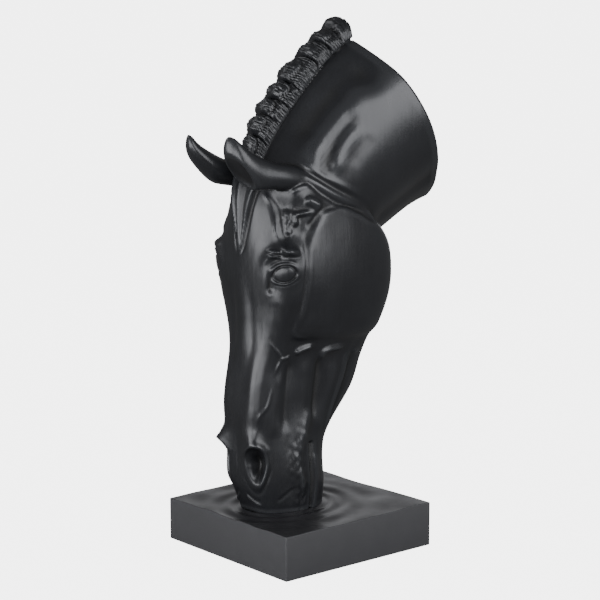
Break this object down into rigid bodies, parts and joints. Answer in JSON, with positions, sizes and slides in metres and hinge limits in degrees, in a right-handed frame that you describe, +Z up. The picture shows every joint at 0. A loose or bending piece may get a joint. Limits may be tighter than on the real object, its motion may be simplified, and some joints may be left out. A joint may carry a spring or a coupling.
{
  "type": "horse head sculpture",
  "caption": "Life-like horse's head with a plaited mane, standing nose down on a square plinth of rippled water, in black satin resin.",
  "frame": {"origin": "centre of the plinth's square underside", "axes": "+Z up, the horse's forehead faces -Y, its left side faces +X"},
  "size_m": [0.26, 0.3962, 0.7243],
  "materials": {
    "black_resin": "satin black, softly polished cast resin",
    "black_water": "satin black with duller flat sides"
  },
  "bodies": {
    "root": {"horse_head": "black_resin", "plinth": "black_water"}
  },
  "joints": []
}
